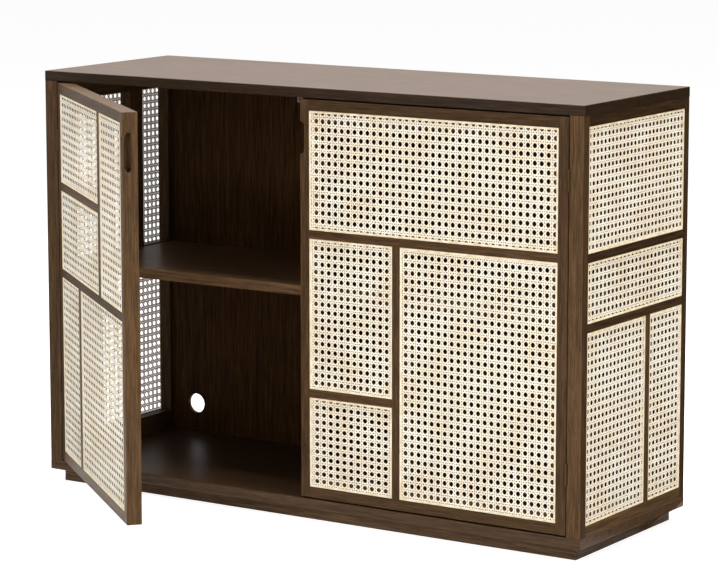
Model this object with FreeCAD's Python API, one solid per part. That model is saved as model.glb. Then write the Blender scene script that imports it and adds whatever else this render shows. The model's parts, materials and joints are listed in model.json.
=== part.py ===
import FreeCAD, Part
import os

# Record cabinet on a recessed plinth: two hinged cane doors at the front, a cane
# frame at each end, a divider, two shelves and a plain back.
# Millimetres, +Z up. The origin is on the floor under the middle of the cabinet;
# +X runs to the right along the front and the doors face -Y.

V = FreeCAD.Vector

# ---------------------------------------------------------------- driving sizes
# carcass
WIDTH = 1200.0             # over the top and bottom panels
DEPTH = 400.0
OPENING_HEIGHT = 755.0     # clear height between the panels
PANEL_T = 19.0             # top and bottom panels
SIDE_REVEAL = 1.0          # how far the panels stand past the end frames
DIVIDER_T = 19.0
DIVIDER_SETBACK = 2.0      # behind the inner face of the doors
BACK_T = 8.0
BACK_GROOVE = 6.0          # depth of the grooves that hold the back
BACK_RECESS = 22.0         # from the rear edges to the rear face of the back

# plinth
PLINTH_HEIGHT = 25.0
PLINTH_INSET = 20.0
PLINTH_T = 18.0
PLINTH_RAIL_WIDTH = 60.0   # the rail across the middle

# shelves
SHELF_T = 19.0
SHELF_HEIGHT = 395.0       # underside of the shelf above the plinth
SHELF_SETBACK = 45.0       # front edge of the shelf behind the front
SHELF_GAP = 0.5            # each side of a shelf
PIN_R = 2.5
PIN_IN = 9.0               # length of a shelf pin in the wood
PIN_OUT = 8.0
PIN_MARGIN = 45.0          # from the front and rear edges of a shelf to its pins

# cable holes in the back
CABLE_HOLE_R = 20.0
CABLE_HOLE_FROM_SIDE = 59.0    # centre to the inner face of the end frame
CABLE_HOLE_HEIGHT = 59.0       # centre above the bottom panel

# rebated frame stock, shared by the doors and the ends
STOCK_T = 28.0
STOCK_W = 40.0             # full width, as the inside shows it
EDGE_FACE = 20.0           # what the outside shows of a stile or an outer rail
BAR_FACE = 15.5            # what the outside shows of an inner rail or mullion
FREE_STILE_FACE = 19.0
HINGE_STILE_FACE = 20.5
BACK_STILE_FACE = 17.0
REBATE_D = 3.0             # step that the cane lies in
ARRIS = 0.8                # eased edges of the panels and of the doors' outer faces
TENON_T = 8.0
TENON_L = 16.0
TENON_SHOULDER = 6.0
GLUE_GAP = 0.1             # room round a tenon or a shelf pin
MORTISE_SPARE = 1.0        # room at the end of a tenon

# cane
CANE_T = 1.6
BINDING_T = 2.4            # the flat strip that edges each sheet
BINDING_W = 5.0
CANE_GAP = 0.3             # between a sheet and the edge of its rebate
# the left end is seen against the light, so its cane is pierced by a plain grid
# that stands for the weave; a real hole is about 7 mm wide and 14 mm from the next
OPENING_PITCH = 40.0
OPENING_SIZE = 20.0

# doors
DOOR_GAP_SIDE = 2.0        # door edge to end frame
DOOR_GAP_MIDDLE = 3.0      # between the doors
DOOR_GAP_TOP = 3.0
DOOR_GAP_BOTTOM = 3.0
LEFT_DOOR_OPEN = 39.65     # degrees that the left door stands open

# places of the inner bars: lower or left visible edge, from the frame's corner
RIGHT_DOOR_RAIL = 490.5
RIGHT_DOOR_MULLION = 202.0
RIGHT_DOOR_SHORT_RAIL = 191.0
LEFT_DOOR_RAIL = 370.0
LEFT_DOOR_UPPER_MULLION = 355.0
LEFT_DOOR_SHORT_RAIL = 540.5
LEFT_DOOR_LOWER_MULLION = 174.0
RIGHT_END_UPPER_RAIL = 494.0
SHELF_RAIL_DROP = 7.0      # lower edge of the end rail at each shelf, below the shelf
RIGHT_END_MULLION = 240.5
LEFT_END_UPPER_MULLION = 138.0     # from the rear edge
LEFT_END_LOWER_MULLION = 275.0     # from the rear edge

# finger pulls: a round-ended slot in the free edge, opened to the front by a notch
PULL_LENGTH = 60.0
PULL_FROM_TOP = 41.5
PULL_IN = 9.0              # into the stile from its free edge
PULL_R = 7.0               # inner corners of the notch
PULL_SLOT_R = 5.5
PULL_SLOT_BEHIND = 5.7     # wood between the outer face and the slot
PULL_SLOT_IN = 15.0
PULL_SLOT_PAST = 5.5       # the slot runs this far past each end of the notch

# butt hinges
HINGE_LENGTH = 40.0
HINGE_FROM_END = 92.0      # door end to hinge end
HINGE_PROUD = 0.8          # pin axis in front of the door face
KNUCKLE_R = 2.2
KNUCKLE_GAP = 0.3          # round and between the knuckles
HINGE_PIN_R = 1.0
HINGE_PIN_CLEAR = 0.06
LEAF_T = 1.2
LEAF_W = 15.0

# magnetic catches
CATCH_FROM_MIDDLE = 18.0   # centre of a catch from the middle of the cabinet
CATCH_W = 12.0
CATCH_D = 14.0
CATCH_H = 13.0
CATCH_PLATE_T = 1.5        # mounting plate over the magnet block
CATCH_PLATE_EAR = 2.0
CATCH_SOCKET_R = 3.0       # round mouth of the magnet
CATCH_SOCKET_D = 4.0
STRIKE_W = 12.0
STRIKE_H = 8.0
STRIKE_T = 1.2
STRIKE_FROM_TOP = 1.5      # below the upper edge of the door
CATCH_GAP = 0.3

# loose tenons between the end frames and the panels
LOOSE_TENON_W = 40.0
LOOSE_TENON_IN_PANEL = 12.0
LOOSE_TENON_IN_FRAME = 16.0
LOOSE_TENON_SPREAD = 110.0     # centre of each from the middle of the depth

# ---------------------------------------------------------------- worked out
FRONT = -DEPTH / 2
REAR = DEPTH / 2
BODY_Z = PLINTH_HEIGHT
FLOOR_Z = BODY_Z + PANEL_T                 # top of the bottom panel
CEILING_Z = FLOOR_Z + OPENING_HEIGHT       # underside of the top panel
SIDE_X = WIDTH / 2 - SIDE_REVEAL           # outer face of the end frames
INNER_X = SIDE_X - STOCK_T                 # inner face of the end frames
BACK_Y = REAR - BACK_RECESS - BACK_T       # front face of the back
DOOR_W = INNER_X - DOOR_GAP_SIDE - DOOR_GAP_MIDDLE / 2
DOOR_H = OPENING_HEIGHT - DOOR_GAP_TOP - DOOR_GAP_BOTTOM
DOOR_Z = FLOOR_Z + DOOR_GAP_BOTTOM
DOOR_BACK = FRONT + STOCK_T
HINGE_X = INNER_X - DOOR_GAP_SIDE / 2
HINGE_Y = FRONT - HINGE_PROUD
SHELF_Z = BODY_Z + SHELF_HEIGHT
END_SHELF_RAIL = SHELF_HEIGHT - PANEL_T - SHELF_RAIL_DROP
OVERRUN = 5.0                              # cutters run past the face they open
NEAR = 0.1                                 # for finding edges by their place

NODES = {}


def box(x0, y0, z0, x1, y1, z1):
    return Part.makeBox(x1 - x0, y1 - y0, z1 - z0, V(x0, y0, z0))


def rod(r, start, end):
    axis = end - start
    return Part.makeCylinder(r, axis.Length, start, axis)


def mirrored(shape):
    return shape.mirror(V(0, 0, 0), V(1, 0, 0))


def add(name, *solids):
    """Puts solids into a node; each stays a solid of its own."""
    NODES.setdefault(name, []).extend(solids)


def carve(name, cutter):
    """Cuts one shape out of every solid of a node."""
    NODES[name] = [solid.cut(cutter) for solid in NODES[name]]


def edges_where(shape, wanted):
    return [edge for edge in shape.Edges if wanted(edge)]


# ---------------------------------------------------------------- cane frames
# A frame lies in its own axes: u across, w up, d inwards from the outer face.
# A member is its visible strip plus, behind the cane, a lip on each side that
# meets a field.


def edge_members(width, height, faces, stocks):
    """Stiles over the full height with the outer rails between them.

    faces and stocks are given as left, right, bottom and top.
    """
    left, right, bottom, top = faces
    lips = [stock - face for stock, face in zip(stocks, faces)]
    return {
        "left": dict(rect=(0, 0, left, height), lips=(0, lips[0], 0, 0)),
        "right": dict(rect=(width - right, 0, width, height), lips=(lips[1], 0, 0, 0)),
        "bottom": dict(rect=(left, 0, width - right, bottom), lips=(0, 0, 0, lips[2]),
                       ends=("left", "right")),
        "top": dict(rect=(left, height - top, width - right, height),
                    lips=(0, 0, lips[3], 0), ends=("left", "right")),
    }


def add_rail(members, name, low, left, right):
    """Horizontal bar whose lower visible edge is at low, between two members."""
    lip = (STOCK_W - BAR_FACE) / 2
    members[name] = dict(
        rect=(members[left]["rect"][2], low, members[right]["rect"][0], low + BAR_FACE),
        lips=(0, 0, lip, lip), ends=(left, right))


def add_mullion(members, name, low, bottom, top):
    """Upright bar whose left visible edge is at low, between two members."""
    lip = (STOCK_W - BAR_FACE) / 2
    members[name] = dict(
        rect=(low, members[bottom]["rect"][3], low + BAR_FACE, members[top]["rect"][1]),
        lips=(lip, lip, 0, 0), ends=(bottom, top))


def is_upright(member):
    return member["lips"][2] == 0 and member["lips"][3] == 0


def member_body(members, name):
    """The stick without its tenons, and the rectangle of its rear part."""
    member = members[name]
    u0, w0, u1, w1 = member["rect"]
    left, right, bottom, top = member["lips"]
    rear = [u0 - left, w0 - bottom, u1 + right, w1 + top]
    if "ends" in member:
        first, last = (members[end] for end in member["ends"])
        if is_upright(member):
            rear[1] += first["lips"][3]
            rear[3] -= last["lips"][2]
        else:
            rear[0] += first["lips"][1]
            rear[2] -= last["lips"][0]
    strip = box(u0, 0, w0, u1, REBATE_D, w1)
    core = box(rear[0], REBATE_D, rear[1], rear[2], STOCK_T, rear[3])
    return strip.fuse(core).removeSplitter(), rear


def tenon_boxes(members, name, grow, spare):
    """The tenons at both ends, grown for the mortise."""
    member = members[name]
    if "ends" not in member:
        return []
    u0, w0, u1, w1 = member_body(members, name)[1]
    middle = (REBATE_D + STOCK_T) / 2
    d0 = middle - TENON_T / 2 - grow
    d1 = middle + TENON_T / 2 + grow
    side = TENON_SHOULDER - grow
    reach = TENON_L + spare
    if is_upright(member):
        return [box(u0 + side, d0, w0 - reach, u1 - side, d1, w0),
                box(u0 + side, d0, w1, u1 - side, d1, w1 + reach)]
    return [box(u0 - reach, d0, w0 + side, u0, d1, w1 - side),
            box(u1, d0, w0 + side, u1 + reach, d1, w1 - side)]


def frame_solids(members):
    """Every member with its own tenons and the mortises of the others."""
    mortises = {name: tenon_boxes(members, name, GLUE_GAP, MORTISE_SPARE) for name in members}
    solids = {}
    for name in members:
        solid = member_body(members, name)[0]
        for tenon in tenon_boxes(members, name, 0, 0):
            solid = solid.fuse(tenon)
        solid = solid.removeSplitter()
        for other, member in members.items():
            for end, mortise in zip(member.get("ends", ()), mortises[other]):
                if end == name:
                    solid = solid.cut(mortise)
        solids[name] = solid
    return solids


def cane_sheet(members, left, right, bottom, top):
    """Cane in the rebate of one field, with its flat binding strip."""
    u0 = members[left]["rect"][2] + CANE_GAP
    u1 = members[right]["rect"][0] - CANE_GAP
    w0 = members[bottom]["rect"][3] + CANE_GAP
    w1 = members[top]["rect"][1] - CANE_GAP
    sheet = box(u0, REBATE_D - BINDING_T, w0, u1, REBATE_D, w1)
    field = box(u0 + BINDING_W, REBATE_D - BINDING_T, w0 + BINDING_W,
                u1 - BINDING_W, REBATE_D - CANE_T, w1 - BINDING_W)
    return sheet.cut(field)


def field_openings(members, left, right, bottom, top):
    """Grid of square cutters through the woven part of one field."""
    margin = CANE_GAP + BINDING_W
    u0 = members[left]["rect"][2] + margin
    u1 = members[right]["rect"][0] - margin
    w0 = members[bottom]["rect"][3] + margin
    w1 = members[top]["rect"][1] - margin
    columns = round((u1 - u0) / OPENING_PITCH)
    rows = round((w1 - w0) / OPENING_PITCH)
    cutters = []
    for column in range(columns):
        middle_u = u0 + (u1 - u0) * (column + 0.5) / columns
        for row in range(rows):
            middle_w = w0 + (w1 - w0) * (row + 0.5) / rows
            cutters.append(box(middle_u - OPENING_SIZE / 2, 0, middle_w - OPENING_SIZE / 2,
                               middle_u + OPENING_SIZE / 2, STOCK_T, middle_w + OPENING_SIZE / 2))
    return Part.makeCompound(cutters)


def place(shape, turn, corner):
    """Turns a frame's solid about Z and sets its corner in the cabinet."""
    placed = shape.copy()
    placed.rotate(V(0, 0, 0), V(0, 0, 1), turn)
    placed.translate(corner)
    return placed


def add_frame(prefix, members, fields, names, turn, corner, pierced=False):
    """Makes the nodes of one frame; names gives each member its own name.

    A field is the name of its cane's node and the members round it.
    """
    for name, solid in frame_solids(members).items():
        add(prefix + names[name], place(solid, turn, corner))
    for cane, *sides in fields:
        sheet = cane_sheet(members, *sides)
        if pierced:
            sheet = sheet.cut(field_openings(members, *sides))
        add(prefix + cane, place(sheet, turn, corner))


# ---------------------------------------------------------------- end frames


def right_end():
    """Outer face to +X; u runs from the front edge to the rear edge."""
    members = edge_members(DEPTH, OPENING_HEIGHT,
                           (EDGE_FACE, BACK_STILE_FACE, EDGE_FACE, EDGE_FACE),
                           (STOCK_W,) * 4)
    add_rail(members, "upper_rail", RIGHT_END_UPPER_RAIL, "left", "right")
    add_rail(members, "lower_rail", END_SHELF_RAIL, "left", "right")
    add_mullion(members, "mullion", RIGHT_END_MULLION, "bottom", "lower_rail")
    fields = [("cane", "left", "right", "upper_rail", "top"),
              ("cane", "left", "right", "lower_rail", "upper_rail"),
              ("cane", "left", "mullion", "bottom", "lower_rail"),
              ("cane", "mullion", "right", "bottom", "lower_rail")]
    names = {"left": "front_stile", "right": "back_stile", "bottom": "bottom_rail",
             "top": "top_rail", "upper_rail": "upper_rail", "lower_rail": "lower_rail",
             "mullion": "mullion"}
    add_frame("right_end_", members, fields, names, 90, V(SIDE_X, FRONT, FLOOR_Z))


def left_end():
    """Outer face to -X; u runs from the rear edge to the front edge."""
    members = edge_members(DEPTH, OPENING_HEIGHT,
                           (BACK_STILE_FACE, EDGE_FACE, EDGE_FACE, EDGE_FACE),
                           (STOCK_W,) * 4)
    add_rail(members, "middle_rail", END_SHELF_RAIL, "left", "right")
    add_mullion(members, "upper_mullion", LEFT_END_UPPER_MULLION, "middle_rail", "top")
    add_mullion(members, "lower_mullion", LEFT_END_LOWER_MULLION, "bottom", "middle_rail")
    fields = [("cane", "left", "upper_mullion", "middle_rail", "top"),
              ("cane", "upper_mullion", "right", "middle_rail", "top"),
              ("cane", "left", "lower_mullion", "bottom", "middle_rail"),
              ("cane", "lower_mullion", "right", "bottom", "middle_rail")]
    names = {"left": "back_stile", "right": "front_stile", "bottom": "bottom_rail",
             "top": "top_rail", "middle_rail": "middle_rail",
             "upper_mullion": "upper_mullion", "lower_mullion": "lower_mullion"}
    corner = V(-SIDE_X, REAR, FLOOR_Z)
    add_frame("left_end_", members, fields, names, -90, corner, pierced=True)


# ---------------------------------------------------------------- doors, closed


def right_door():
    """u runs from the free edge at the middle to the hinge edge."""
    members = edge_members(DOOR_W, DOOR_H,
                           (FREE_STILE_FACE, HINGE_STILE_FACE, EDGE_FACE, EDGE_FACE),
                           (STOCK_W,) * 4)
    add_rail(members, "middle_rail", RIGHT_DOOR_RAIL, "left", "right")
    add_mullion(members, "mullion", RIGHT_DOOR_MULLION, "bottom", "middle_rail")
    add_rail(members, "short_rail", RIGHT_DOOR_SHORT_RAIL, "left", "mullion")
    fields = [("top_cane", "left", "right", "middle_rail", "top"),
              ("small_upper_cane", "left", "mullion", "short_rail", "middle_rail"),
              ("small_lower_cane", "left", "mullion", "bottom", "short_rail"),
              ("main_cane", "mullion", "right", "bottom", "middle_rail")]
    names = {"left": "free_stile", "right": "hinge_stile", "bottom": "bottom_rail",
             "top": "top_rail", "middle_rail": "middle_rail", "mullion": "mullion",
             "short_rail": "short_rail"}
    corner = V(DOOR_GAP_MIDDLE / 2, FRONT, DOOR_Z)
    add_frame("right_door_", members, fields, names, 0, corner)


def left_door():
    """u runs from the hinge edge to the free edge at the middle."""
    members = edge_members(DOOR_W, DOOR_H,
                           (HINGE_STILE_FACE, FREE_STILE_FACE, EDGE_FACE, EDGE_FACE),
                           (STOCK_W,) * 4)
    add_rail(members, "middle_rail", LEFT_DOOR_RAIL, "left", "right")
    add_mullion(members, "upper_mullion", LEFT_DOOR_UPPER_MULLION, "middle_rail", "top")
    add_rail(members, "short_rail", LEFT_DOOR_SHORT_RAIL, "left", "upper_mullion")
    add_mullion(members, "lower_mullion", LEFT_DOOR_LOWER_MULLION, "bottom", "middle_rail")
    fields = [("top_cane", "left", "upper_mullion", "short_rail", "top"),
              ("middle_cane", "left", "upper_mullion", "middle_rail", "short_rail"),
              ("tall_upper_cane", "upper_mullion", "right", "middle_rail", "top"),
              ("narrow_lower_cane", "left", "lower_mullion", "bottom", "middle_rail"),
              ("main_cane", "lower_mullion", "right", "bottom", "middle_rail")]
    names = {"left": "hinge_stile", "right": "free_stile", "bottom": "bottom_rail",
             "top": "top_rail", "middle_rail": "middle_rail",
             "upper_mullion": "upper_mullion", "short_rail": "short_rail",
             "lower_mullion": "lower_mullion"}
    corner = V(-DOOR_GAP_MIDDLE / 2 - DOOR_W, FRONT, DOOR_Z)
    add_frame("left_door_", members, fields, names, 0, corner)


def finger_pull():
    """Slot in the free edge of the right door and the notch that opens it to the front."""
    edge = DOOR_GAP_MIDDLE / 2
    x0 = edge - OVERRUN
    x1 = edge + PULL_IN
    middle = FRONT + PULL_SLOT_BEHIND + PULL_SLOT_R
    z1 = DOOR_Z + DOOR_H - PULL_FROM_TOP
    z0 = z1 - PULL_LENGTH
    notch = box(x0, FRONT - OVERRUN, z0, x1, middle, z1)

    def inner_corner(side):
        place = side.CenterOfMass
        return abs(place.x - x1) < NEAR and abs(place.z - (z0 + z1) / 2) > NEAR

    notch = notch.makeFillet(PULL_R, edges_where(notch, inner_corner))
    low = z0 - PULL_SLOT_PAST + PULL_SLOT_R
    high = z1 + PULL_SLOT_PAST - PULL_SLOT_R
    deep = edge + PULL_SLOT_IN
    slot = box(x0, middle - PULL_SLOT_R, low, deep, middle + PULL_SLOT_R, high)
    for z in (low, high):
        slot = slot.fuse(rod(PULL_SLOT_R, V(x0, middle, z), V(deep, middle, z)))
    return notch.fuse(slot).removeSplitter()


def arris_cutter(start, end, out_a, out_b):
    """Prism that eases the edge from start to end; out_a and out_b are its faces' sides."""
    corner = [start, start - out_a * ARRIS, start - out_b * ARRIS]
    face = Part.Face(Part.makePolygon(corner + [start]))
    return face.extrude(end - start)


def ease_door_edges(prefix, x0, x1):
    """Takes the sharp outer arris off the four edges of a closed door."""
    z0 = DOOR_Z
    z1 = DOOR_Z + DOOR_H
    corners = {"left": V(x0, FRONT, z0), "right": V(x1, FRONT, z1)}
    front = V(0, -1, 0)
    cutters = [
        arris_cutter(corners["left"], V(x0, FRONT, z1), V(-1, 0, 0), front),
        arris_cutter(corners["right"], V(x1, FRONT, z0), V(1, 0, 0), front),
        arris_cutter(corners["left"], V(x1, FRONT, z0), V(0, 0, -1), front),
        arris_cutter(corners["right"], V(x0, FRONT, z1), V(0, 0, 1), front),
    ]
    for name in ("free_stile", "hinge_stile", "bottom_rail", "top_rail"):
        for cutter in cutters:
            carve(prefix + name, cutter)


# ---------------------------------------------------------------- hinges


def hinge_heights():
    """Lower end of each hinge of a door."""
    return (DOOR_Z + HINGE_FROM_END, DOOR_Z + DOOR_H - HINGE_FROM_END - HINGE_LENGTH)


def span(side, near, far):
    """Lowest and highest x between two distances from the hinge axis, on one side of it."""
    return sorted((HINGE_X + side * near, HINGE_X + side * far))


def knuckle_ranges(z):
    """Post knuckles at both ends of the hinge and the door knuckle between them."""
    step = HINGE_LENGTH / 3
    half = KNUCKLE_GAP / 2
    post = [(z, z + step - half), (z + 2 * step + half, z + HINGE_LENGTH)]
    door = [(z + step + half, z + 2 * step - half)]
    return post, door


def leaf(side, z, own, other):
    """One leaf at the right hinge axis; side is +1 on the post and -1 on the door.

    own and other are the height ranges of its knuckles and of the facing ones.
    """
    x0, x1 = span(side, DOOR_GAP_SIDE / 2, DOOR_GAP_SIDE / 2 + LEAF_T)
    plate = box(x0, HINGE_Y, z, x1, FRONT + LEAF_W, z + HINGE_LENGTH)
    for z0, z1 in other:
        plate = plate.cut(box(x0, HINGE_Y, z0 - KNUCKLE_GAP,
                              x1, HINGE_Y + KNUCKLE_R + KNUCKLE_GAP, z1 + KNUCKLE_GAP))
    for z0, z1 in own:
        plate = plate.fuse(rod(KNUCKLE_R, V(HINGE_X, HINGE_Y, z0), V(HINGE_X, HINGE_Y, z1)))
    bore = rod(HINGE_PIN_R + HINGE_PIN_CLEAR, V(HINGE_X, HINGE_Y, z - OVERRUN),
               V(HINGE_X, HINGE_Y, z + HINGE_LENGTH + OVERRUN))
    return plate.removeSplitter().cut(bore)


def hinge_recess(side, z):
    """Mortise for a leaf, a little deeper in front where the knuckles turn."""
    x0, x1 = span(side, 0, DOOR_GAP_SIDE / 2 + LEAF_T)
    slot = box(x0, FRONT - OVERRUN, z, x1, FRONT + LEAF_W, z + HINGE_LENGTH)
    x0, x1 = span(side, 0, KNUCKLE_R + KNUCKLE_GAP)
    pocket = box(x0, FRONT - OVERRUN, z - KNUCKLE_GAP,
                 x1, HINGE_Y + KNUCKLE_R + KNUCKLE_GAP, z + HINGE_LENGTH + KNUCKLE_GAP)
    return slot.fuse(pocket)


def hang_doors():
    """Cuts the frames for the hinges and adds leaves and pins."""
    for label, flip in (("right", lambda shape: shape), ("left", mirrored)):
        for z in hinge_heights():
            post_knuckles, door_knuckles = knuckle_ranges(z)
            add("post_hinge_leaves", flip(leaf(1, z, post_knuckles, door_knuckles)))
            add(label + "_door_hinge_leaves", flip(leaf(-1, z, door_knuckles, post_knuckles)))
            carve(label + "_end_front_stile", flip(hinge_recess(1, z)))
            carve(label + "_door_hinge_stile", flip(hinge_recess(-1, z)))
            low = V(HINGE_X, HINGE_Y, z)
            add("hinge_pins", flip(rod(HINGE_PIN_R, low, low + V(0, 0, HINGE_LENGTH))))


# ---------------------------------------------------------------- catches


def catch_parts():
    """Magnet block with its mounting plate, and the strike, for the right door."""
    x = CATCH_FROM_MIDDLE
    y0 = DOOR_BACK + STRIKE_T + CATCH_GAP
    plate_z = CEILING_Z - CATCH_PLATE_T
    low = CEILING_Z - CATCH_H
    plate = box(x - CATCH_W / 2 - CATCH_PLATE_EAR, y0, plate_z,
                x + CATCH_W / 2 + CATCH_PLATE_EAR, y0 + CATCH_D, CEILING_Z)
    block = box(x - CATCH_W / 2, y0, low, x + CATCH_W / 2, y0 + CATCH_D, plate_z)
    mouth = V(x, y0 - OVERRUN, (low + plate_z) / 2)
    socket = rod(CATCH_SOCKET_R, mouth, mouth + V(0, OVERRUN + CATCH_SOCKET_D, 0))
    strike_z = DOOR_Z + DOOR_H - STRIKE_FROM_TOP
    strike = box(x - STRIKE_W / 2, DOOR_BACK, strike_z - STRIKE_H,
                 x + STRIKE_W / 2, DOOR_BACK + STRIKE_T, strike_z)
    return plate.fuse(block).removeSplitter().cut(socket), strike


def catches():
    """A catch under the top for each door and its strike on the door's free stile."""
    catch, strike = catch_parts()
    add("catches", catch, mirrored(catch))
    add("right_door_strike", strike)
    add("left_door_strike", mirrored(strike))


# ---------------------------------------------------------------- carcass


def panel(z, grooved_face):
    """Top or bottom panel with eased edges and the groove for the back."""
    slab = box(-WIDTH / 2, FRONT, z, WIDTH / 2, REAR, z + PANEL_T)
    slab = slab.makeChamfer(ARRIS, slab.Edges)
    low = grooved_face - BACK_GROOVE
    high = grooved_face + BACK_GROOVE
    groove = box(-INNER_X, BACK_Y, low, INNER_X, BACK_Y + BACK_T, high)
    return slab.cut(groove)


def back():
    """Back panel in the grooves of the top and bottom, with a cable hole in each bay."""
    sheet = box(-INNER_X, BACK_Y, FLOOR_Z - BACK_GROOVE, INNER_X, BACK_Y + BACK_T,
                CEILING_Z + BACK_GROOVE)
    for side in (-1, 1):
        centre = V(side * (INNER_X - CABLE_HOLE_FROM_SIDE), BACK_Y, FLOOR_Z + CABLE_HOLE_HEIGHT)
        sheet = sheet.cut(rod(CABLE_HOLE_R, centre - V(0, OVERRUN, 0),
                              centre + V(0, BACK_T + OVERRUN, 0)))
    return sheet


def shelf():
    """Shelf of the right bay."""
    return box(DIVIDER_T / 2 + SHELF_GAP, FRONT + SHELF_SETBACK, SHELF_Z,
               INNER_X - SHELF_GAP, BACK_Y - SHELF_GAP, SHELF_Z + SHELF_T)


def shelf_pin_spots():
    """Face point and outward direction of each pin of the right bay."""
    z = SHELF_Z - PIN_R
    rows = (FRONT + SHELF_SETBACK + PIN_MARGIN, BACK_Y - PIN_MARGIN)
    return [(V(x, y, z), V(out, 0, 0)) for x, out in ((INNER_X, -1), (DIVIDER_T / 2, 1))
            for y in rows]


def shelves_and_pins():
    add("right_shelf", shelf())
    add("left_shelf", mirrored(shelf()))
    for label, flip in (("right", lambda shape: shape), ("left", mirrored)):
        rail = {"right": "right_end_lower_rail", "left": "left_end_middle_rail"}[label]
        for face, out in shelf_pin_spots():
            inner = face - out * PIN_IN
            wood = rail if out.x < 0 else "divider"
            carve(wood, flip(rod(PIN_R + GLUE_GAP, inner, face + out * PIN_OUT)))
            add("shelf_pins", flip(rod(PIN_R, inner, face + out * PIN_OUT)))


def plinth():
    """Four boards set in from the edges, and a rail under the middle."""
    x1 = WIDTH / 2 - PLINTH_INSET
    y0 = FRONT + PLINTH_INSET
    y1 = REAR - PLINTH_INSET
    add("plinth_front", box(-x1, y0, 0, x1, y0 + PLINTH_T, PLINTH_HEIGHT))
    add("plinth_back", box(-x1, y1 - PLINTH_T, 0, x1, y1, PLINTH_HEIGHT))
    end = box(x1 - PLINTH_T, y0 + PLINTH_T, 0, x1, y1 - PLINTH_T, PLINTH_HEIGHT)
    add("plinth_right", end)
    add("plinth_left", mirrored(end))
    half = PLINTH_RAIL_WIDTH / 2
    add("plinth_middle_rail", box(-half, y0 + PLINTH_T, 0, half, y1 - PLINTH_T, PLINTH_HEIGHT))


def loose_tenon(x, y, face, up, grow):
    """Tongue across the joint at height face; up is +1 towards the top panel."""
    in_frame = face - up * (LOOSE_TENON_IN_FRAME + grow)
    in_panel = face + up * (LOOSE_TENON_IN_PANEL + grow)
    half_t = TENON_T / 2 + grow
    half_w = LOOSE_TENON_W / 2 + grow
    return box(x - half_t, y - half_w, min(in_frame, in_panel),
               x + half_t, y + half_w, max(in_frame, in_panel))


def loose_tenons():
    """Tongues that hold the end frames to the top and bottom panels."""
    middle = SIDE_X - STOCK_T / 2
    for label, x in (("right", middle), ("left", -middle)):
        for y in (-LOOSE_TENON_SPREAD, LOOSE_TENON_SPREAD):
            for face, up, board in ((CEILING_Z, 1, "top"), (FLOOR_Z, -1, "bottom")):
                add("end_frame_loose_tenons", loose_tenon(x, y, face, up, 0))
                mortise = loose_tenon(x, y, face, up, GLUE_GAP)
                carve(board + "_panel", mortise)
                carve(label + "_end_" + board + "_rail", mortise)


def carcass():
    add("top_panel", panel(CEILING_Z, CEILING_Z))
    add("bottom_panel", panel(BODY_Z, FLOOR_Z))
    add("back_panel", back())
    add("divider", box(-DIVIDER_T / 2, DOOR_BACK + DIVIDER_SETBACK, FLOOR_Z,
                       DIVIDER_T / 2, BACK_Y, CEILING_Z))
    plinth()


def open_left_door():
    """Swings every node of the left door about its hinge axis to where it stands."""
    for name, solids in NODES.items():
        if name.startswith("left_door_"):
            for solid in solids:
                solid.rotate(V(-HINGE_X, HINGE_Y, 0), V(0, 0, 1), -LEFT_DOOR_OPEN)


def write_nodes():
    os.makedirs("parts", exist_ok=True)
    for name, solids in NODES.items():
        shape = solids[0] if len(solids) == 1 else Part.makeCompound(solids)
        shape.exportStep("parts/" + name + ".step")


def build():
    carcass()
    right_end()
    left_end()
    right_door()
    left_door()
    edge = DOOR_GAP_MIDDLE / 2
    ease_door_edges("right_door_", edge, edge + DOOR_W)
    ease_door_edges("left_door_", -edge - DOOR_W, -edge)
    carve("right_door_free_stile", finger_pull())
    carve("left_door_free_stile", mirrored(finger_pull()))
    hang_doors()
    catches()
    shelves_and_pins()
    loose_tenons()
    open_left_door()
    write_nodes()


build()
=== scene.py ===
import functools
import json
import math

import bmesh
import bpy
from mathutils import Matrix, Vector

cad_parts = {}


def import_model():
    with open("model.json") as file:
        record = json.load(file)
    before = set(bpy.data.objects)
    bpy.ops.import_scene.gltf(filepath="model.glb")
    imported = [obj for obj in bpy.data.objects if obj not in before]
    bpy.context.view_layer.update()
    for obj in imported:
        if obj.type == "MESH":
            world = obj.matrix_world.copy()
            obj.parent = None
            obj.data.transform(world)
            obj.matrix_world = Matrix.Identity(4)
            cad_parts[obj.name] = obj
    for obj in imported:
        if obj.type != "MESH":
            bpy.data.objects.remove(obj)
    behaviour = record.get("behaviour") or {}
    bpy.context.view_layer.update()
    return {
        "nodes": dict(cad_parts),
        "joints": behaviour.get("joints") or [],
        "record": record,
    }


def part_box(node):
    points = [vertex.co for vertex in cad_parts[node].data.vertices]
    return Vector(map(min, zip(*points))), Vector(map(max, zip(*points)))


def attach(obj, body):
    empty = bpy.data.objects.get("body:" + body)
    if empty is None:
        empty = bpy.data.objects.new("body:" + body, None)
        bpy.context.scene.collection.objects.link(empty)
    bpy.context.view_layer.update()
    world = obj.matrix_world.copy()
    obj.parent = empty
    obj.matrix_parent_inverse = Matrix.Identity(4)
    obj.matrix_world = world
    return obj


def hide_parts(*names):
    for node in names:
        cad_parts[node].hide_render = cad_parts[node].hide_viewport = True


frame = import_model()

# Record cabinet in smoked oak with woven cane panels. Everything is in metres.
MM = 0.001
NODES = frame["nodes"]
CARCASS = "cabinet"

# ---------------------------------------------------------------- frames and bodies


def turn_of_left_door():
    """How the left door stands at rest: from its own axes to the cabinet's."""
    hinge = next(joint for joint in frame["joints"] if joint["name"] == "left_door_hinge")
    angle = math.radians(hinge["range_deg"][0])
    pivot = Matrix.Translation(hinge["pos_m"])
    return pivot @ Matrix.Rotation(angle, 4, "Z") @ pivot.inverted()


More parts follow.
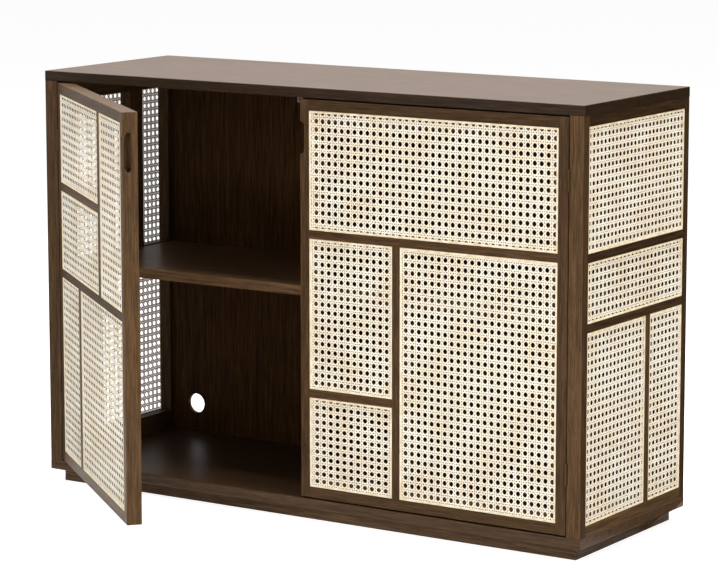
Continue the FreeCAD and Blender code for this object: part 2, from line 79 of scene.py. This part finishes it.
# From the own axes of each frame that holds cane, X across it, Y inwards and Z up, to
# the cabinet's.
PLACES = {
    "right_door": Matrix.Identity(4),
    "left_door": turn_of_left_door(),
    "right_end": Matrix.Rotation(math.radians(90), 4, "Z"),
    "left_end": Matrix.Rotation(math.radians(-90), 4, "Z"),
}


def part_of(node):
    """The frame, of the four, that a node belongs to."""
    return next((part for part in PLACES if node.startswith(part)), None)


def body_of(node):
    """The body that a node rides on: the end frames are fixed to the carcass."""
    part = part_of(node)
    return part if part in ("left_door", "right_door") else CARCASS


# ---------------------------------------------------------------- making pieces
EDGE_ANGLE = 50.0                  # degrees; faces that meet at more keep a sharp edge
ALL_SMOOTH = 180.0                 # for the weave, whose strands are shaded round


def made_of(name, bm, material):
    """An object with the bmesh as its mesh, at the origin."""
    mesh = bpy.data.meshes.new(name)
    bm.to_mesh(mesh)
    bm.free()
    mesh.materials.append(material)
    made = bpy.data.objects.new(name, mesh)
    bpy.context.scene.collection.objects.link(made)
    return made


def piece(name, bm, material, body, matrix, edge_angle=EDGE_ANGLE):
    """Turns a bmesh into a piece of the cabinet that rides on a body."""
    bmesh.ops.transform(bm, matrix=matrix, verts=bm.verts)
    made = made_of(name, bm, material)
    made.data.shade_smooth()
    made.data.set_sharp_from_angle(angle=math.radians(edge_angle))
    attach(made, body)
    return made


def verts_in(geom):
    """The vertices among what a bmesh operator returns."""
    return [item for item in geom if isinstance(item, bmesh.types.BMVert)]


def clip(bm, point, outwards):
    """Cuts off everything past a plane and closes the cuts."""
    geom = bm.verts[:] + bm.edges[:] + bm.faces[:]
    bmesh.ops.bisect_plane(bm, geom=geom, plane_co=point, plane_no=outwards, clear_outer=True)
    bmesh.ops.holes_fill(bm, edges=[edge for edge in bm.edges if edge.is_boundary], sides=0)


# ---------------------------------------------------------------- cane panels
# Half the distance between the two strands of a pair, as a share of the pitch.
PAIR_SHARE = 0.13
STRAND_WIDTH = 2.5 * MM
STRAND_THICKNESS = 0.5 * MM
DIAGONAL_WIDTH = 2.25 * MM
DIAGONAL_THICKNESS = 0.4 * MM
STRAND_SIDES = 4                   # few, because the cell is repeated thousands of times
STRAND_LIFT = 0.18 * MM            # a pair's strands over and under each other
DIAGONAL_LIFT = 0.34 * MM
SHEET_DEPTH = 2.2 * MM             # middle of the weave behind the outer face
SPARE_REPEATS = 2                  # woven past each edge, then cut off
REBATE_DEPTH = 3.0 * MM            # back of a CAD sheet behind the outer face
SPLINE_WIDTH = 4.2 * MM            # reed that is pressed in round each sheet
SPLINE_HEIGHT = 2.4 * MM
SPLINE_ROUND = 0.9 * MM
RIM_ANGLE = 60.0                   # degrees; the reed's top is rounded at edges past this
WELD = 0.01 * MM                   # points nearer than this become one

# Each sheet: holes across, holes up, and the distances in millimetres from its
# left, right, bottom and top edge to the middle of the nearest whole hole.
# Sheets of one node run from the lowest to the highest, and from left to right.
CANE = {
    "right_door_top_cane": [(36, 13, 15.5, 20.5, 18, 19)],
    "right_door_small_upper_cane": [(12, 18, 14, 12.5, 12.5, 17)],
    "right_door_small_lower_cane": [(11, 11, 16, 14.5, 12, 17.5)],
    "right_door_main_cane": [(22, 30, 12.5, 21.5, 13, 15.5)],
    "left_door_top_cane": [(21, 11, 17.5, 11, 15, 19.5)],
    "left_door_middle_cane": [(22, 10, 11, 9, 18, 11)],
    "left_door_tall_upper_cane": [(11, 23, 18, 20.5, 10, 19)],
    "left_door_narrow_lower_cane": [(10, 24, 9, 17, 15, 18.5)],
    "left_door_main_cane": [(23, 24, 19, 18, 15, 8.5)],
    "right_end_cane": [(14, 23, 21, 17, 18, 12), (8, 23, 8, 15, 18.5, 13.5),
                       (23, 6, 22, 17.5, 17.5, 18), (25, 15, 20.5, 7.5, 11, 17)],
    "left_end_cane": [(17, 23, 14, 14, 14, 14), (6, 23, 10, 10, 14, 14),
                      (8, 23, 12, 12, 14, 14), (15, 23, 14, 14, 14, 14)],
}


def islands(bm):
    """Connected groups of vertices."""
    left = set(bm.verts)
    groups = []
    while left:
        group = []
        front = [left.pop()]
        while front:
            vert = front.pop()
            group.append(vert)
            for edge in vert.link_edges:
                other = edge.other_vert(vert)
                if other in left:
                    left.remove(other)
                    front.append(other)
        groups.append(group)
    return groups


def sheet_boxes(node):
    """(low, high) of every sheet of a cane node in its frame's own axes."""
    bm = bmesh.new()
    bm.from_mesh(NODES[node].data)
    bmesh.ops.remove_doubles(bm, verts=bm.verts, dist=WELD)
    bmesh.ops.transform(bm, matrix=PLACES[part_of(node)].inverted(), verts=bm.verts)
    boxes = []
    for group in islands(bm):
        spans = [sorted(vert.co[axis] for vert in group) for axis in range(3)]
        boxes.append((Vector(span[0] for span in spans), Vector(span[-1] for span in spans)))
    bm.free()
    return sorted(boxes, key=lambda box: (round(box[0].z, 2), box[0].x))


def strand(bm, points, width, thickness, across):
    """A strand of flat section through points of the sheet, open at its ends."""
    ring = bmesh.ops.create_circle(bm, cap_ends=False, segments=STRAND_SIDES, radius=0.5)["verts"]
    along = points[-1] - points[0]
    along.y = 0.0
    along.normalize()
    out = Vector((0.0, -1.0, 0.0))
    turn = Matrix((across * width, out * thickness, along)).transposed().to_4x4()
    bmesh.ops.transform(bm, matrix=Matrix.Translation(points[0]) @ turn, verts=ring)
    edges = list(dict.fromkeys(edge for vert in ring for edge in vert.link_edges))
    for start, end in zip(points, points[1:]):
        grown = bmesh.ops.extrude_edge_only(bm, edges=edges)["geom"]
        verts = verts_in(grown)
        edges = [item for item in grown if isinstance(item, bmesh.types.BMEdge)
                 and all(vert in verts for vert in item.verts)]
        bmesh.ops.translate(bm, vec=end - start, verts=verts)


def weave_cell(bm, pitch_u, pitch_w):
    """One repeat of the six-way weave, with its hole in the middle of the pitch: a pair of
    strands upright and a pair level, and one strand on each diagonal."""
    half_u = PAIR_SHARE * pitch_u
    half_w = PAIR_SHARE * pitch_w
    right = Vector((1.0, 0.0, 0.0))
    up = Vector((0.0, 0.0, 1.0))
    slope = Vector((pitch_u, 0.0, pitch_w)).normalized()
    across_slope = Vector((slope.z, 0, -slope.x))

    def run(*places):
        """Points from their place across the sheet, their lift outwards and their height."""
        return [Vector((u, -lift, w)) for u, lift, w in places]

    for u, lift in ((-half_u, STRAND_LIFT), (half_u, -STRAND_LIFT)):
        upright = run((u, lift, -half_w), (u, -lift, half_w), (u, lift, pitch_w - half_w))
        strand(bm, upright, STRAND_WIDTH, STRAND_THICKNESS, right)
    for w, lift in ((-half_w, -STRAND_LIFT), (half_w, STRAND_LIFT)):
        level = run((-half_u, lift, w), (half_u, -lift, w), (pitch_u - half_u, lift, w))
        strand(bm, level, STRAND_WIDTH, STRAND_THICKNESS, up)
    rising = run((-pitch_u / 2, -DIAGONAL_LIFT, 0), (0, DIAGONAL_LIFT, pitch_w / 2),
                 (pitch_u / 2, -DIAGONAL_LIFT, pitch_w))
    strand(bm, rising, DIAGONAL_WIDTH, DIAGONAL_THICKNESS, across_slope)
    falling = run((0, -DIAGONAL_LIFT, pitch_w / 2), (pitch_u / 2, DIAGONAL_LIFT, 0),
                  (pitch_u, -DIAGONAL_LIFT, -pitch_w / 2))
    strand(bm, falling, DIAGONAL_WIDTH, DIAGONAL_THICKNESS, slope)


def copies(bm, count, step):
    """Repeats everything in the mesh along one step."""
    source = bm.verts[:] + bm.edges[:] + bm.faces[:]
    for index in range(1, count):
        made = bmesh.ops.duplicate(bm, geom=source)["geom"]
        bmesh.ops.translate(bm, vec=step * index, verts=verts_in(made))


def weave(low, high, layout):
    """The woven sheet between the corners of a CAD sheet, in its frame's own axes."""
    columns, rows, left, right, bottom, top = layout
    pitch_u = (high.x - low.x - (left + right) * MM) / (columns - 1)
    pitch_w = (high.z - low.z - (bottom + top) * MM) / (rows - 1)
    bm = bmesh.new()
    weave_cell(bm, pitch_u, pitch_w)
    copies(bm, columns + 2 * SPARE_REPEATS, Vector((pitch_u, 0, 0)))
    copies(bm, rows + 2 * SPARE_REPEATS, Vector((0, 0, pitch_w)))
    start = Vector((low.x + left * MM - pitch_u * (SPARE_REPEATS + 0.5),
                    high.y - REBATE_DEPTH + SHEET_DEPTH,
                    low.z + bottom * MM - pitch_w * (SPARE_REPEATS + 0.5)))
    bmesh.ops.translate(bm, vec=start, verts=bm.verts)
    bmesh.ops.remove_doubles(bm, verts=bm.verts, dist=WELD)
    for axis in (Vector((1, 0, 0)), Vector((0, 0, 1))):
        under_reed = axis * (SPLINE_WIDTH / 2)
        clip(bm, low + under_reed, -axis)
        clip(bm, high - under_reed, axis)
    bmesh.ops.recalc_face_normals(bm, faces=bm.faces)
    return bm


def spline_ring(bm, low, high):
    """The reed round a sheet, with a rounded top."""
    made = bmesh.ops.create_grid(bm, x_segments=1, y_segments=1, size=0.5)["verts"]
    width = high.x - low.x
    height = high.z - low.z
    turn = Matrix.Rotation(math.radians(90), 4, "X") @ Matrix.Diagonal((width, height, 1, 1))
    middle = Vector(((low.x + high.x) / 2, high.y, (low.z + high.z) / 2))
    bmesh.ops.transform(bm, matrix=Matrix.Translation(middle) @ turn, verts=made)
    face = made[0].link_faces[0]
    ring = bmesh.ops.inset_region(bm, faces=[face], thickness=SPLINE_WIDTH,
                                  use_boundary=True, use_even_offset=True)["faces"]
    bmesh.ops.delete(bm, geom=[face], context="FACES_ONLY")
    grown = bmesh.ops.extrude_face_region(bm, geom=ring, use_keep_orig=True)["geom"]
    top = set(verts_in(grown))
    bmesh.ops.translate(bm, vec=Vector((0, -SPLINE_HEIGHT, 0)), verts=list(top))
    bmesh.ops.recalc_face_normals(bm, faces=bm.faces)
    rim = [edge for edge in bm.edges if set(edge.verts) <= top
           and edge.calc_face_angle(0.0) > math.radians(RIM_ANGLE)]
    bmesh.ops.bevel(bm, geom=rim, offset=SPLINE_ROUND, affect="EDGES", segments=3,
                    profile=0.5, material=-1)


def cane_panels(strands, reed):
    """Puts woven sheets, and the reed round them, in place of every cane node."""
    for node, layouts in CANE.items():
        part = part_of(node)
        body = body_of(node)
        boxes = sheet_boxes(node)
        ring = bmesh.new()
        for index, ((low, high), layout) in enumerate(zip(boxes, layouts, strict=True)):
            suffix = "_weave" if len(boxes) == 1 else "_weave_%d" % (index + 1)
            sheet = piece(node + suffix, weave(low, high, layout), strands[part], body,
                          PLACES[part], ALL_SMOOTH)
            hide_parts(node)
            spline_ring(ring, low, high)
        edging = piece(node + "_reed", ring, reed, body, PLACES[part])
        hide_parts(node)


# ---------------------------------------------------------------- hinge screws
HINGE_LENGTH = 40.0 * MM
LEAF_FACE = 1.0 * MM               # from the pin's axis, sideways
SCREW_SETBACK = 9.0 * MM           # from the pin's axis, inwards
SCREW_SPACING = 24.0 * MM
HEAD_RADIUS = 2.5 * MM
HEAD_DEPTH = 0.5 * MM              # half of it sunk in the leaf
HEAD_SLOT = 0.8 * MM
HEAD_SIDES = 24
SCREW_TURN = 37.0                  # degrees by which each screw stands on from the last


def screw_head():
    """A slotted head that faces Z: a part of a disc and its twin, with the slot between them."""
    bm = bmesh.new()
    bmesh.ops.create_cone(bm, cap_ends=True, segments=HEAD_SIDES, radius1=HEAD_RADIUS,
                          radius2=HEAD_RADIUS, depth=HEAD_DEPTH)
    clip(bm, Vector((0, HEAD_SLOT / 2, 0)), Vector((0, -1, 0)))
    bmesh.ops.recalc_face_normals(bm, faces=bm.faces)
    twin = bmesh.ops.duplicate(bm, geom=bm.verts[:] + bm.edges[:] + bm.faces[:])["geom"]
    half_turn = Matrix.Rotation(math.pi, 3, "Z")
    bmesh.ops.rotate(bm, cent=(0, 0, 0), matrix=half_turn, verts=verts_in(twin))
    return bm


def screw_heights():
    """Heights of the screws of a door: two in its lower hinge and two in its upper one."""
    low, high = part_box("post_hinge_leaves")
    middles = (low.z + HINGE_LENGTH / 2, high.z - HINGE_LENGTH / 2)
    return [middle + side * SCREW_SPACING / 2 for middle in middles for side in (-1, 1)]


def hinge_screws(material):
    """Two screws in each leaf; those of the post and those of the door face each other."""
    heights = screw_heights()
    for joint in frame["joints"]:
        axis = Vector(joint["pos_m"])
        door = joint["name"].removesuffix("_hinge")
        outwards = math.copysign(1.0, axis.x)
        side = "right" if outwards > 0 else "left"
        leaves = ((CARCASS, -outwards, Matrix.Identity(4)), (door, outwards, PLACES[door]))
        for body, facing, matrix in leaves:
            for index, height in enumerate(heights):
                place = Vector((axis.x - facing * LEAF_FACE, axis.y + SCREW_SETBACK, height))
                turn = (Matrix.Rotation(math.radians(90 * facing), 4, "Y")
                        @ Matrix.Rotation(math.radians(SCREW_TURN * index), 4, "Z"))
                name = "%s_%s_hinge_screw_%d" % (body, side, index + 1)
                piece(name, screw_head(), material, body,
                      matrix @ Matrix.Translation(place) @ turn)


# ---------------------------------------------------------------- colours and nodes
# Sockets of a Mix node that mixes colours, and where its result comes out.
COLOUR_A = 6
COLOUR_B = 7
COLOUR_RESULT = 2


def linear(code):
    """An sRGB hex colour as the linear values that Blender works in."""
    values = [int(code[i:i + 2], 16) / 255 for i in (1, 3, 5)]
    return tuple(v / 12.92 if v <= 0.04045 else ((v + 0.055) / 1.055) ** 2.4
                 for v in values) + (1.0,)


def blank(name):
    """A new material and its node tree, still empty."""
    material = bpy.data.materials.new(name)
    material.use_nodes = True
    tree = material.node_tree
    tree.nodes.clear()
    return material, tree


def put(tree, kind, sockets=None, stops=(), **settings):
    """Adds a node. Its sockets, by name or number, get a value or the output that feeds them,
    and the stops of a colour ramp are (place, hex colour) pairs."""
    made = tree.nodes.new(kind)
    for name, value in settings.items():
        setattr(made, name, value)
    for name, value in (sockets or {}).items():
        if isinstance(value, bpy.types.NodeSocket):
            tree.links.new(value, made.inputs[name])
        else:
            made.inputs[name].default_value = value
    for index, (place, code) in enumerate(stops):
        elements = made.color_ramp.elements
        element = elements[index] if index < len(elements) else elements.new(place)
        element.position = place
        element.color = linear(code)
    return made


def noise_scale(size):
    """Noise scale whose features are about that many millimetres across."""
    return 1.0 / (size * MM)


# ---------------------------------------------------------------- wood and metal
# How a Mapping node turns a piece so that its grain runs along X.
GRAINS = {
    "lengthwise": (0.0, 0.0, 0.0),
    "depthwise": (0.0, 0.0, math.radians(-90)),
    "upright": (0.0, math.radians(90), 0.0),
    "across_left_door": (0.0, 0.0, -PLACES["left_door"].to_euler().z),
}
# Words in the names of nodes with upright grain, and the boards outside the end frames
# whose grain runs from front to back.
UPRIGHT_WORDS = ("stile", "mullion", "divider", "back_panel", "tenon")
DEPTHWISE = ("plinth_left", "plinth_right", "plinth_middle_rail")
# Length and width of the wood's markings in millimetres. Real pores are 0.3 mm wide,
# and are drawn 1.2 mm wide so that they show.
FIGURE = (260.0, 9.0)
FIBRES = (55.0, 2.2)
PORES = (16.0, 1.2)
FIBRE_SHARE = 0.6                  # of the change from dark to light; the rest is figure
FIBRE_RELIEF = 0.15 * MM
BROWN_PLACES = (0.34, 0.5, 0.68)   # of dark, middle and light brown in that mixture
PORE_BROWN = "#1c120b"
PORE_FROM = 0.62                   # noise above this is a pore
PORE_FULL = 0.72
PORE_STRENGTH = 0.5
FACE_FROM = 0.6                    # length of a normal along an axis that it begins to face
FACE_FULL = 0.9                    # and that it faces fully
# Name, dark, middle and light brown, then roughness and index of refraction. The boards
# are veneered and finished smoother than the frames.
WOODS = {
    "frame_wood": ("smoked_oak_frame", "#322316", "#493623", "#5f4732", 0.38, 1.14),
    "panel_wood": ("smoked_oak_board", "#2b1f14", "#433121", "#56422e", 0.36, 1.22),
    "back_wood": ("smoked_oak_back", "#2b1b0e", "#422c17", "#573b23", 0.45, 1.1),
    "plinth_wood": ("smoked_oak_plinth", "#322519", "#4a3929", "#5d4a38", 0.45, 1.14),
    # plain planed beech: pale and matt
    "tenon_wood": ("beech_tongue", "#9c7b55", "#b18f66", "#c4a57c", 0.6, 1.3),
}
# Painted light and shade: how much lighter or darker than the rest some sticks and boards are
# painted, on the front, on the face to the right and on the upper face, as each is lit or shaded.
NO_PAINTED_LIGHT = (1.0, 1.0, 1.0)
PAINTED_LIGHT_TONES = {
    "top_panel": (0.46, 0.45, 1.0),
    "bottom_panel": (1.2, 1.3, 0.75),
    "left_shelf": (2.0, 2.0, 2.0),
    "right_shelf": (2.0, 2.0, 2.0),
    "plinth_front": (1.55, 1.0, 1.0),
    "plinth_right": (1.0, 0.85, 1.0),
    "right_door_top_rail": (0.72, 0.72, 1.0),
    "right_door_hinge_stile": (0.95, 0.95, 1.0),
    "right_door_short_rail": (1.2, 1.2, 1.0),
    "left_door_free_stile": (1.3, 1.3, 0.9),
    "left_door_top_rail": (1.0, 1.0, 0.95),
    "left_door_short_rail": (1.25, 1.25, 1.0),
    "left_door_bottom_rail": (1.5, 1.5, 1.0),
    "right_end_front_stile": (1.28, 0.8, 1.0),
    "right_end_back_stile": (0.6, 0.6, 1.0),
    "right_end_top_rail": (0.52, 0.52, 1.0),
    "right_end_upper_rail": (0.58, 0.58, 1.0),
    "right_end_lower_rail": (0.75, 0.75, 1.0),
    "right_end_bottom_rail": (1.3, 1.3, 1.0),
}
# Name, colour and roughness.
METALS = {
    # brass, chemically browned: dark and warm, with a dull gleam
    "hinge_metal": ("browned_brass", "#54402c", 0.42),
    # steel with a dull nickel plating: a soft grey gleam
    "catch_metal": ("nickel_plated_steel", "#7d7a74", 0.4),
    # a brighter nickel plating: paler, with a narrower gleam
    "pin_metal": ("nickel_plated_pin", "#c9c6bf", 0.3),
}


@functools.cache
def wood(slot, grain, painted_light):
    """Oak, fumed dark and sealed with satin lacquer: brown with darker open pores along the
    grain, a faint figure, and a soft sheen that turns pale at a low angle. The front, the face
    to the right and the upper face are painted lighter or darker by tones of their own, which
    are painted light and shade. Beech is made the same way."""
    name, dark, middle, light, roughness, ior = WOODS[slot]
    material, tree = blank(name + "_" + grain)
    coordinates = put(tree, "ShaderNodeTexCoord")
    turned = put(tree, "ShaderNodeMapping",
                 {"Vector": coordinates.outputs["Object"], "Rotation": GRAINS[grain]})

    def streaks(size, detail, distortion=0.0):
        """Noise that is drawn out along the grain."""
        length, width = size
        scale = (noise_scale(length), noise_scale(width), noise_scale(width))
        stretched = put(tree, "ShaderNodeMapping",
                        {"Vector": turned.outputs["Vector"], "Scale": scale})
        return put(tree, "ShaderNodeTexNoise",
                   {"Vector": stretched.outputs["Vector"], "Scale": 1.0, "Detail": detail,
                    "Roughness": 0.6, "Distortion": distortion}).outputs["Fac"]

    figure = streaks(FIGURE, 3.0, 0.6)
    fibres = streaks(FIBRES, 2.0)
    pores = streaks(PORES, 1.0)
    figure_part = put(tree, "ShaderNodeMath", {0: figure, 1: 1.0 - FIBRE_SHARE},
                      operation="MULTIPLY")
    mixed = put(tree, "ShaderNodeMath", {0: fibres, 1: FIBRE_SHARE, 2: figure_part.outputs[0]},
                operation="MULTIPLY_ADD")
    brown = put(tree, "ShaderNodeValToRGB", {"Fac": mixed.outputs[0]},
                stops=zip(BROWN_PLACES, (dark, middle, light)))
    open_pores = put(tree, "ShaderNodeMapRange",
                     {"Value": pores, "From Min": PORE_FROM, "From Max": PORE_FULL,
                      "To Max": PORE_STRENGTH})
    coloured = put(tree, "ShaderNodeMix",
                   {"Factor": open_pores.outputs["Result"], COLOUR_A: brown.outputs["Color"],
                    COLOUR_B: linear(PORE_BROWN)}, data_type="RGBA")
    facing = put(tree, "ShaderNodeSeparateXYZ", {"Vector": coordinates.outputs["Normal"]})
    # painted light and shade: each face gets its own painted brightness by the way it points
    front, right, upper = painted_light
    side = put(tree, "ShaderNodeMapRange",
               {"Value": facing.outputs["X"], "From Min": FACE_FROM, "From Max": FACE_FULL,
                "To Min": front, "To Max": right})
    painted_light_factor = put(tree, "ShaderNodeMapRange",
               {"Value": facing.outputs["Z"], "From Min": FACE_FROM, "From Max": FACE_FULL,
                "To Min": side.outputs["Result"], "To Max": upper})
    painted_light_colour = put(tree, "ShaderNodeHueSaturation",
                {"Value": painted_light_factor.outputs["Result"], "Color": coloured.outputs[COLOUR_RESULT]})
    bump = put(tree, "ShaderNodeBump",
               {"Height": fibres, "Strength": 0.25, "Distance": FIBRE_RELIEF})
    shader = put(tree, "ShaderNodeBsdfPrincipled",
                 {"Base Color": painted_light_colour.outputs["Color"], "Roughness": roughness, "IOR": ior,
                  "Normal": bump.outputs["Normal"]})
    put(tree, "ShaderNodeOutputMaterial", {"Surface": shader.outputs[0]})
    return material


@functools.cache
def metal(slot):
    """A metal of one even colour, with a gleam as wide as its roughness makes it."""
    name, colour, roughness = METALS[slot]
    material, tree = blank(name)
    shader = put(tree, "ShaderNodeBsdfPrincipled",
                 {"Base Color": linear(colour), "Metallic": 1.0, "Roughness": roughness})
    put(tree, "ShaderNodeOutputMaterial", {"Surface": shader.outputs[0]})
    return material


def grain_of(node):
    """The way the grain runs: along each stick and board, and upright in the back panel."""
    if any(word in node for word in UPRIGHT_WORDS):
        return "upright"
    if part_of(node) == "left_door":
        return "across_left_door"
    if part_of(node) in ("left_end", "right_end") or node in DEPTHWISE:
        return "depthwise"
    return "lengthwise"


def dress_nodes():
    """Gives every node that is shown its wood or metal."""
    for row in frame["record"]["subparts"]:
        node = row["node"]
        slot = row["material_slot"]
        if slot in WOODS:
            material = wood(slot, grain_of(node), PAINTED_LIGHT_TONES.get(node, NO_PAINTED_LIGHT))
        elif slot in METALS:
            material = metal(slot)
        else:
            continue
        mesh = NODES[node].data
        mesh.materials.clear()
        mesh.materials.append(material)


# ---------------------------------------------------------------- rattan and reed
SKIN = [(0.35, "#f4e7d0"), (0.65, "#faf3e4")]
SKIN_PATCH = 70.0                  # millimetres across
# the strands' inward faces: their raw tan back, darkened with painted shade
INNER_TAN_AND_SHADE = "#b08c5f"
INNER_FULL = 0.3                   # a face that turns inwards by this share is all tan
REED = [(0.35, "#decba4"), (0.6, "#f0e4cd")]
REED_STRETCH = 14.0                # millimetres across


def cane_strand(part):
    """Peeled rattan, woven dry: on the outside its skin, pale cream with a slight gloss and a
    little yellow in places, and on the inside a tan that is partly the raw back of the strand
    and partly painted shade, darker and warmer as strands look in the shade inside the cabinet."""
    material, tree = blank("woven_rattan_" + part)
    coordinates = put(tree, "ShaderNodeTexCoord")
    patches = put(tree, "ShaderNodeTexNoise",
                  {"Vector": coordinates.outputs["Object"], "Scale": noise_scale(SKIN_PATCH),
                   "Detail": 2.0})
    skin = put(tree, "ShaderNodeValToRGB", {"Fac": patches.outputs["Fac"]}, stops=SKIN)
    inwards = PLACES[part].to_3x3() @ Vector((0.0, 1.0, 0.0))
    facing = put(tree, "ShaderNodeVectorMath", {0: coordinates.outputs["Normal"], 1: inwards},
                 operation="DOT_PRODUCT")
    # painted shade: faces that turn inwards get the darker tan
    inner_tan_and_shade = put(tree, "ShaderNodeMapRange",
                {"Value": facing.outputs["Value"], "From Max": INNER_FULL})
    colour = put(tree, "ShaderNodeMix",
                 {"Factor": inner_tan_and_shade.outputs["Result"], COLOUR_A: skin.outputs["Color"],
                  COLOUR_B: linear(INNER_TAN_AND_SHADE)}, data_type="RGBA")
    shader = put(tree, "ShaderNodeBsdfPrincipled",
                 {"Base Color": colour.outputs[COLOUR_RESULT], "Roughness": 0.5, "IOR": 1.22})
    put(tree, "ShaderNodeOutputMaterial", {"Surface": shader.outputs[0]})
    return material


def reed_spline():
    """Split reed pressed into the groove: the same cream, matter, with yellow stretches."""
    material, tree = blank("pressed_reed")
    place = put(tree, "ShaderNodeTexCoord").outputs["Object"]
    stretches = put(tree, "ShaderNodeTexNoise",
                    {"Vector": place, "Scale": noise_scale(REED_STRETCH), "Detail": 3.0})
    colour = put(tree, "ShaderNodeValToRGB", {"Fac": stretches.outputs["Fac"]}, stops=REED)
    shader = put(tree, "ShaderNodeBsdfPrincipled",
                 {"Base Color": colour.outputs["Color"], "Roughness": 0.6, "IOR": 1.45})
    put(tree, "ShaderNodeOutputMaterial", {"Surface": shader.outputs[0]})
    return material


# ---------------------------------------------------------------- room
SENSOR_WIDTH = 36.0                # millimetres, as the lens is
LENS = 151.4
LENS_SHIFT = -0.08
CAMERA_REACH = 100.0
CAMERA_PLACE = (3.128, -4.786, 1.369)
CAMERA_YAW = 33.15
CAMERA_PITCH = -8.49
CAMERA_ROLL = -0.03
FLOOR_SIZE = 30.0
FLOOR_COLOUR = "#e6e6e6"
SHADED_COLOUR = "#b0b0b0"          # what the camera sees of it, together with the glow
FLOOR_GLOW = 0.86
ROOM_LIGHT = 0.25                  # strength of the world as a light
ROOM_WHITE = 1.0                   # and where it is seen
# Cards that only reflections see: name, colour, place, the way they face, and size.
CARDS = [
    ("black_card", "#050505", (2.4, 1.3, 1.03), (-0.35, -0.24, 0.9), 5.0),
    ("grey_card", "#c4c4c4", (-3.9, 1.2, 0.002), (0.0, 0.0, 1.0), 6.0),
]
# Name, place, the point they face, size, power, colour, and whether reflections see
# them: the top board would mirror the front one in views from behind.
SOFT_BOXES = [
    ("overhead_soft_box", (0.0, 0.4, 3.4), (0.0, 0.0, 0.8), 2.6, 270.0, "#ffffff", True),
    ("front_soft_box", (-0.8, -5.2, 2.2), (0.0, 0.0, 0.4), 2.3, 112.0, "#ffffff", False),
    ("right_soft_box", (4.4, -1.6, 1.8), (0.0, 0.0, 0.4), 2.2, 84.0, "#fff4e4", True),
]


def in_view(tree):
    """1 for a ray that the camera sends, straight, by a reflection or through glass."""
    ray = put(tree, "ShaderNodeLightPath")
    found = ray.outputs["Is Camera Ray"]
    for name in ("Is Glossy Ray", "Is Transmission Ray"):
        either = put(tree, "ShaderNodeMath", {0: found, 1: ray.outputs[name]},
                     operation="MAXIMUM")
        found = either.outputs[0]
    return found


def square(name, size, material):
    """A flat square that faces up and isn't part of the cabinet."""
    bm = bmesh.new()
    bmesh.ops.create_grid(bm, x_segments=1, y_segments=1, size=size / 2)
    made = made_of(name, bm, material)
    return made


def floor():
    """White studio floor: white to the camera except where the cabinet shades it."""
    material, tree = blank("white_studio_floor")
    plain = put(tree, "ShaderNodeBsdfDiffuse", {"Color": linear(FLOOR_COLOUR)})
    glow = put(tree, "ShaderNodeEmission", {"Color": (1, 1, 1, 1), "Strength": FLOOR_GLOW})
    shaded = put(tree, "ShaderNodeBsdfDiffuse", {"Color": linear(SHADED_COLOUR)})
    white = put(tree, "ShaderNodeAddShader", {0: glow.outputs[0], 1: shaded.outputs[0]})
    both = put(tree, "ShaderNodeMixShader",
               {"Fac": in_view(tree), 1: plain.outputs[0], 2: white.outputs[0]})
    put(tree, "ShaderNodeOutputMaterial", {"Surface": both.outputs[0]})
    square("studio_floor", FLOOR_SIZE, material)


def world():
    """Soft white room; pure white where the camera or a reflection sees it."""
    room = bpy.data.worlds.new("white_room")
    room.use_nodes = True
    tree = room.node_tree
    tree.nodes.clear()
    strength = put(tree, "ShaderNodeMapRange",
                   {"Value": in_view(tree), "To Min": ROOM_LIGHT, "To Max": ROOM_WHITE})
    glow = put(tree, "ShaderNodeBackground",
               {"Color": (1, 1, 1, 1), "Strength": strength.outputs["Result"]})
    put(tree, "ShaderNodeOutputWorld", {"Surface": glow.outputs[0]})
    bpy.context.scene.world = room


def cards():
    """A black card slopes up from the foot of the right end and a grey one lies to the left:
    they keep the sheen off the wood there, so that its brown stays deep."""
    for name, colour, place, facing, size in CARDS:
        material, tree = blank(name)
        glow = put(tree, "ShaderNodeEmission", {"Color": linear(colour)})
        put(tree, "ShaderNodeOutputMaterial", {"Surface": glow.outputs[0]})
        made = square(name, size, material)
        made.location = place
        made.rotation_euler = Vector(facing).to_track_quat("Z", "Y").to_euler()
        for kind in ("camera", "diffuse", "transmission", "shadow"):
            setattr(made, "visible_" + kind, False)


def soft_boxes():
    """Square lamps over the cabinet, in front of it and to its right."""
    for name, place, target, size, power, colour, mirrored in SOFT_BOXES:
        lamp = bpy.data.lights.new(name, "AREA")
        lamp.shape = "SQUARE"
        lamp.color = linear(colour)[:3]
        lamp.size = size
        lamp.energy = power
        made = bpy.data.objects.new(name, lamp)
        made.location = place
        aim = Vector(target) - Vector(place)
        made.rotation_euler = aim.to_track_quat("-Z", "Y").to_euler()
        made.visible_glossy = mirrored
        bpy.context.scene.collection.objects.link(made)


def camera():
    """The camera, in front of the cabinet and to its right."""
    data = bpy.data.cameras.new("camera")
    data.sensor_width = SENSOR_WIDTH
    data.lens = LENS
    data.shift_y = LENS_SHIFT
    data.clip_end = CAMERA_REACH
    made = bpy.data.objects.new("camera", data)
    aim = (Matrix.Rotation(math.radians(CAMERA_YAW), 4, "Z")
           @ Matrix.Rotation(math.radians(90 + CAMERA_PITCH), 4, "X")
           @ Matrix.Rotation(math.radians(CAMERA_ROLL), 4, "Z"))
    made.matrix_world = Matrix.Translation(CAMERA_PLACE) @ aim
    bpy.context.scene.collection.objects.link(made)
    bpy.context.scene.camera = made


dress_nodes()
cane_panels({part: cane_strand(part) for part in PLACES}, reed_spline())
hinge_screws(metal("hinge_metal"))
floor()
world()
cards()
soft_boxes()
camera()
bpy.context.scene.view_settings.view_transform = "Standard"
